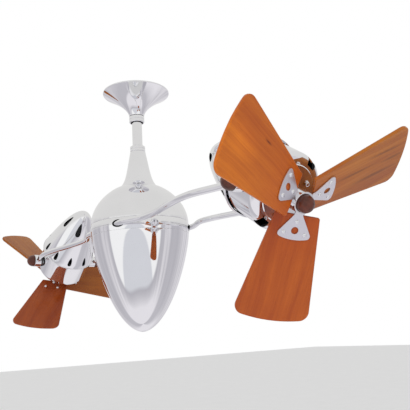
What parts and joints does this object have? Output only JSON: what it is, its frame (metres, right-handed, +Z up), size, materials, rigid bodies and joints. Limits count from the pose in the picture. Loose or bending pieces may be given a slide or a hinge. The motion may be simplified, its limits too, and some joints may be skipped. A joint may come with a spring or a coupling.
{
  "type": "twin head ceiling fan",
  "caption": "Ceiling fan on a short rod: an egg shaped chrome body carries bent rods that turn, with a tilting bullet shaped motor and wooden blades at each end.",
  "frame": {"origin": "centre of the hanger plate's top face, which meets the ceiling", "axes": "+Z up into the ceiling, +X along the two bent rods towards the right head, +Y to the rear"},
  "size_m": [1.3375, 0.4151, 0.5763],
  "materials": {
    "chrome": "polished chrome plate",
    "blade_wood": "satin lacquered reddish brown wood",
    "dark_wood": "satin dark brown turned wood",
    "zinc_steel": "zinc plated steel",
    "cast_metal": "bare casting",
    "nylon": "black nylon",
    "lamination": "varnished steel laminations and windings",
    "copper": "bare copper alloy rings"
  },
  "bodies": {
    "mount": {"hanger_bracket": "zinc_steel", "hanger_ball": "cast_metal", "downrod": "chrome", "canopy": "chrome", "canopy_collar": "chrome", "rod_collar": "chrome", "neck_cover": "chrome", "dome": "chrome", "spindle": "zinc_steel", "brush_block": "nylon", "bearing_inner_ring": "zinc_steel"},
    "carrier": {"bearing_cage": "zinc_steel", "bearing_outer_ring": "zinc_steel", "carrier_hub": "cast_metal", "band_upper": "chrome", "band_lower": "chrome", "bowl": "chrome", "slip_ring_drum": "copper", "arm_front": "chrome", "arm_rear": "chrome", "grommet_right_front": "nylon", "grommet_left_front": "nylon", "grommet_right_rear": "nylon", "grommet_left_rear": "nylon"},
    "right_head": {"right_shell": "chrome", "right_motor_can": "chrome", "right_end_plate": "cast_metal", "right_stator": "lamination", "right_front_bearing": "zinc_steel", "right_washer_front": "nylon", "right_washer_rear": "nylon"},
    "right_fan": {"right_rotor": "lamination", "right_fan_hub": "chrome", "right_finial": "dark_wood", "right_blade_1": "blade_wood", "right_blade_2": "blade_wood", "right_blade_3": "blade_wood", "right_blade_bracket_1": "chrome", "right_blade_bracket_2": "chrome", "right_blade_bracket_3": "chrome"},
    "right_knob_front": {"right_knob_front": "dark_wood"},
    "right_knob_rear": {"right_knob_rear": "dark_wood"},
    "left_head": {"left_shell": "chrome", "left_motor_can": "chrome", "left_end_plate": "cast_metal", "left_stator": "lamination", "left_front_bearing": "zinc_steel", "left_washer_front": "nylon", "left_washer_rear": "nylon"},
    "left_fan": {"left_rotor": "lamination", "left_fan_hub": "chrome", "left_finial": "dark_wood", "left_blade_1": "blade_wood", "left_blade_2": "blade_wood", "left_blade_3": "blade_wood", "left_blade_bracket_1": "chrome", "left_blade_bracket_2": "chrome", "left_blade_bracket_3": "chrome"},
    "left_knob_front": {"left_knob_front": "dark_wood"},
    "left_knob_rear": {"left_knob_rear": "dark_wood"}
  },
  "joints": [
    {"name": "carrier_turn", "type": "hinge", "parent": "mount", "child": "carrier", "pos_m": [0, 0, -0.3437], "axis": [0, 0, 1], "continuous": true},
    {"name": "right_head_tilt", "type": "hinge", "parent": "carrier", "child": "right_head", "pos_m": [0.4815, 0, -0.3527], "axis": [0, 1, 0], "range_deg": [-123.9, 56.1]},
    {"name": "right_fan_spin", "type": "hinge", "parent": "right_head", "child": "right_fan", "pos_m": [0.4815, 0, -0.3527], "axis": [0.83, 0, -0.5577], "continuous": true},
    {"name": "right_knob_front_turn", "type": "hinge", "parent": "right_head", "child": "right_knob_front", "pos_m": [0.4815, 0, -0.3527], "axis": [0, -1, 0], "range_deg": [-180, 180]},
    {"name": "right_knob_rear_turn", "type": "hinge", "parent": "right_head", "child": "right_knob_rear", "pos_m": [0.4815, 0, -0.3527], "axis": [0, 1, 0], "range_deg": [-180, 180]},
    {"name": "left_head_tilt", "type": "hinge", "parent": "carrier", "child": "left_head", "pos_m": [-0.4815, 0, -0.3527], "axis": [0, -1, 0], "range_deg": [-126.6, 53.4]},
    {"name": "left_fan_spin", "type": "hinge", "parent": "left_head", "child": "left_fan", "pos_m": [-0.4815, 0, -0.3527], "axis": [-0.8028, 0, -0.5962], "continuous": true},
    {"name": "left_knob_front_turn", "type": "hinge", "parent": "left_head", "child": "left_knob_front", "pos_m": [-0.4815, 0, -0.3527], "axis": [0, -1, 0], "range_deg": [-180, 180]},
    {"name": "left_knob_rear_turn", "type": "hinge", "parent": "left_head", "child": "left_knob_rear", "pos_m": [-0.4815, 0, -0.3527], "axis": [0, 1, 0], "range_deg": [-180, 180]}
  ]
}
